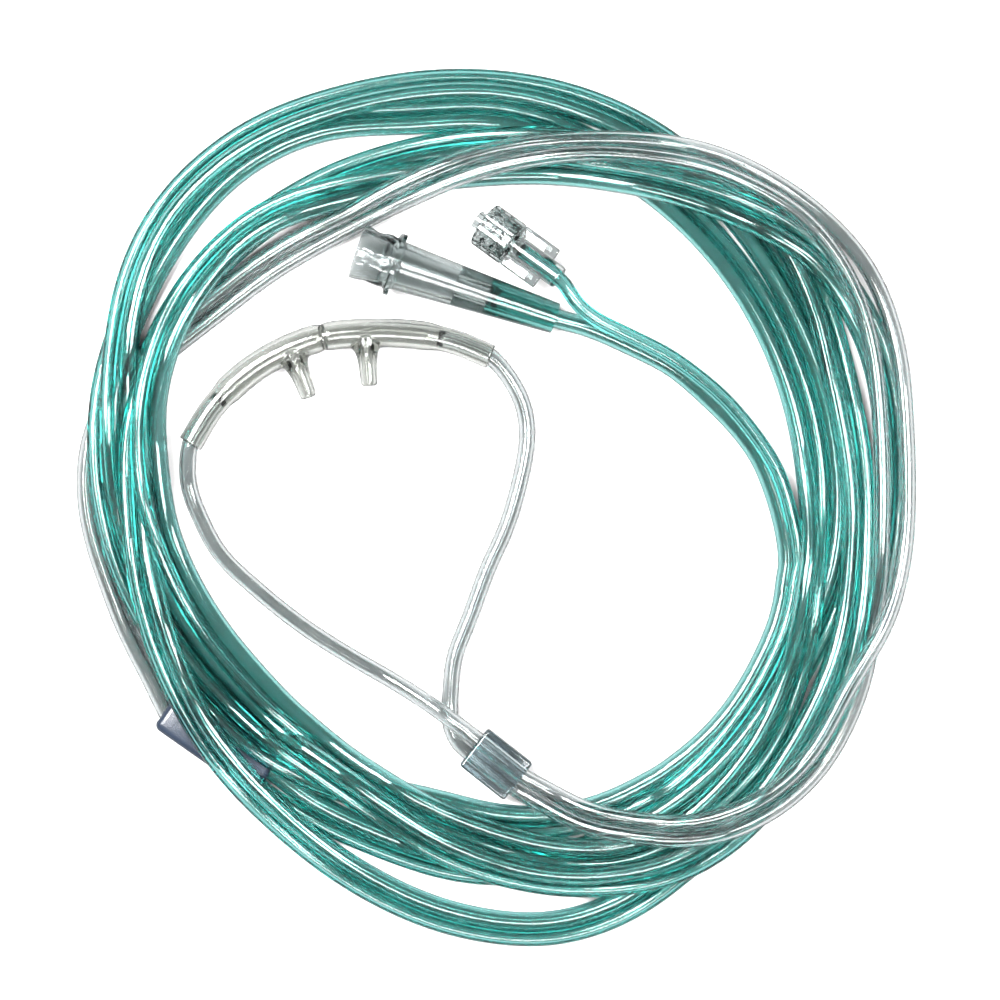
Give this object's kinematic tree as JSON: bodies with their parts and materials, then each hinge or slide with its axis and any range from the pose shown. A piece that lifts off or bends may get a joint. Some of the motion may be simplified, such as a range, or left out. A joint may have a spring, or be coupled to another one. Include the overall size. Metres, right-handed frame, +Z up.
{
  "type": "carbon dioxide sampling nasal cannula",
  "caption": "Coiled nasal cannula with a divided nasal piece, chin slider, green twin tubing, oxygen funnel connector and luer lock gas sampling fitting.",
  "frame": {"origin": "on the floor under the middle of the coil, which is the centre of the bottom of the bounding box", "axes": "+Z up from the floor the coil lies on, +Y towards the side of the coil with the two connectors, +X towards the side where the green tubes leave the coil"},
  "size_m": [0.1778, 0.1858, 0.0136],
  "materials": {
    "soft_clear": "soft clear vinyl, moulded",
    "clear_tubing": "clear extruded vinyl, glossy",
    "green_tubing": "green tinted clear vinyl, glossy",
    "slider_plastic": "cloudy blue-grey vinyl",
    "junction_plastic": "dark blue tinted moulding",
    "connector_plastic": "soft clear vinyl, moulded",
    "luer_plastic": "hard clear plastic, polished"
  },
  "bodies": {
    "cannula": {"nasal_piece": "soft_clear", "left_lariat_tube": "clear_tubing", "right_lariat_tube": "clear_tubing", "tubing_coil": "green_tubing", "junction_block": "junction_plastic", "o2_tail_tube": "green_tubing", "co2_tail_tube": "green_tubing", "o2_connector": "connector_plastic", "luer_fitting": "luer_plastic"},
    "slider": {"slider": "slider_plastic"}
  },
  "joints": [
    {"name": "chin_slide", "type": "slide", "parent": "cannula", "child": "slider", "axis": [-0.7848, 0.6198, 0], "range_m": [0, 0.002]}
  ]
}
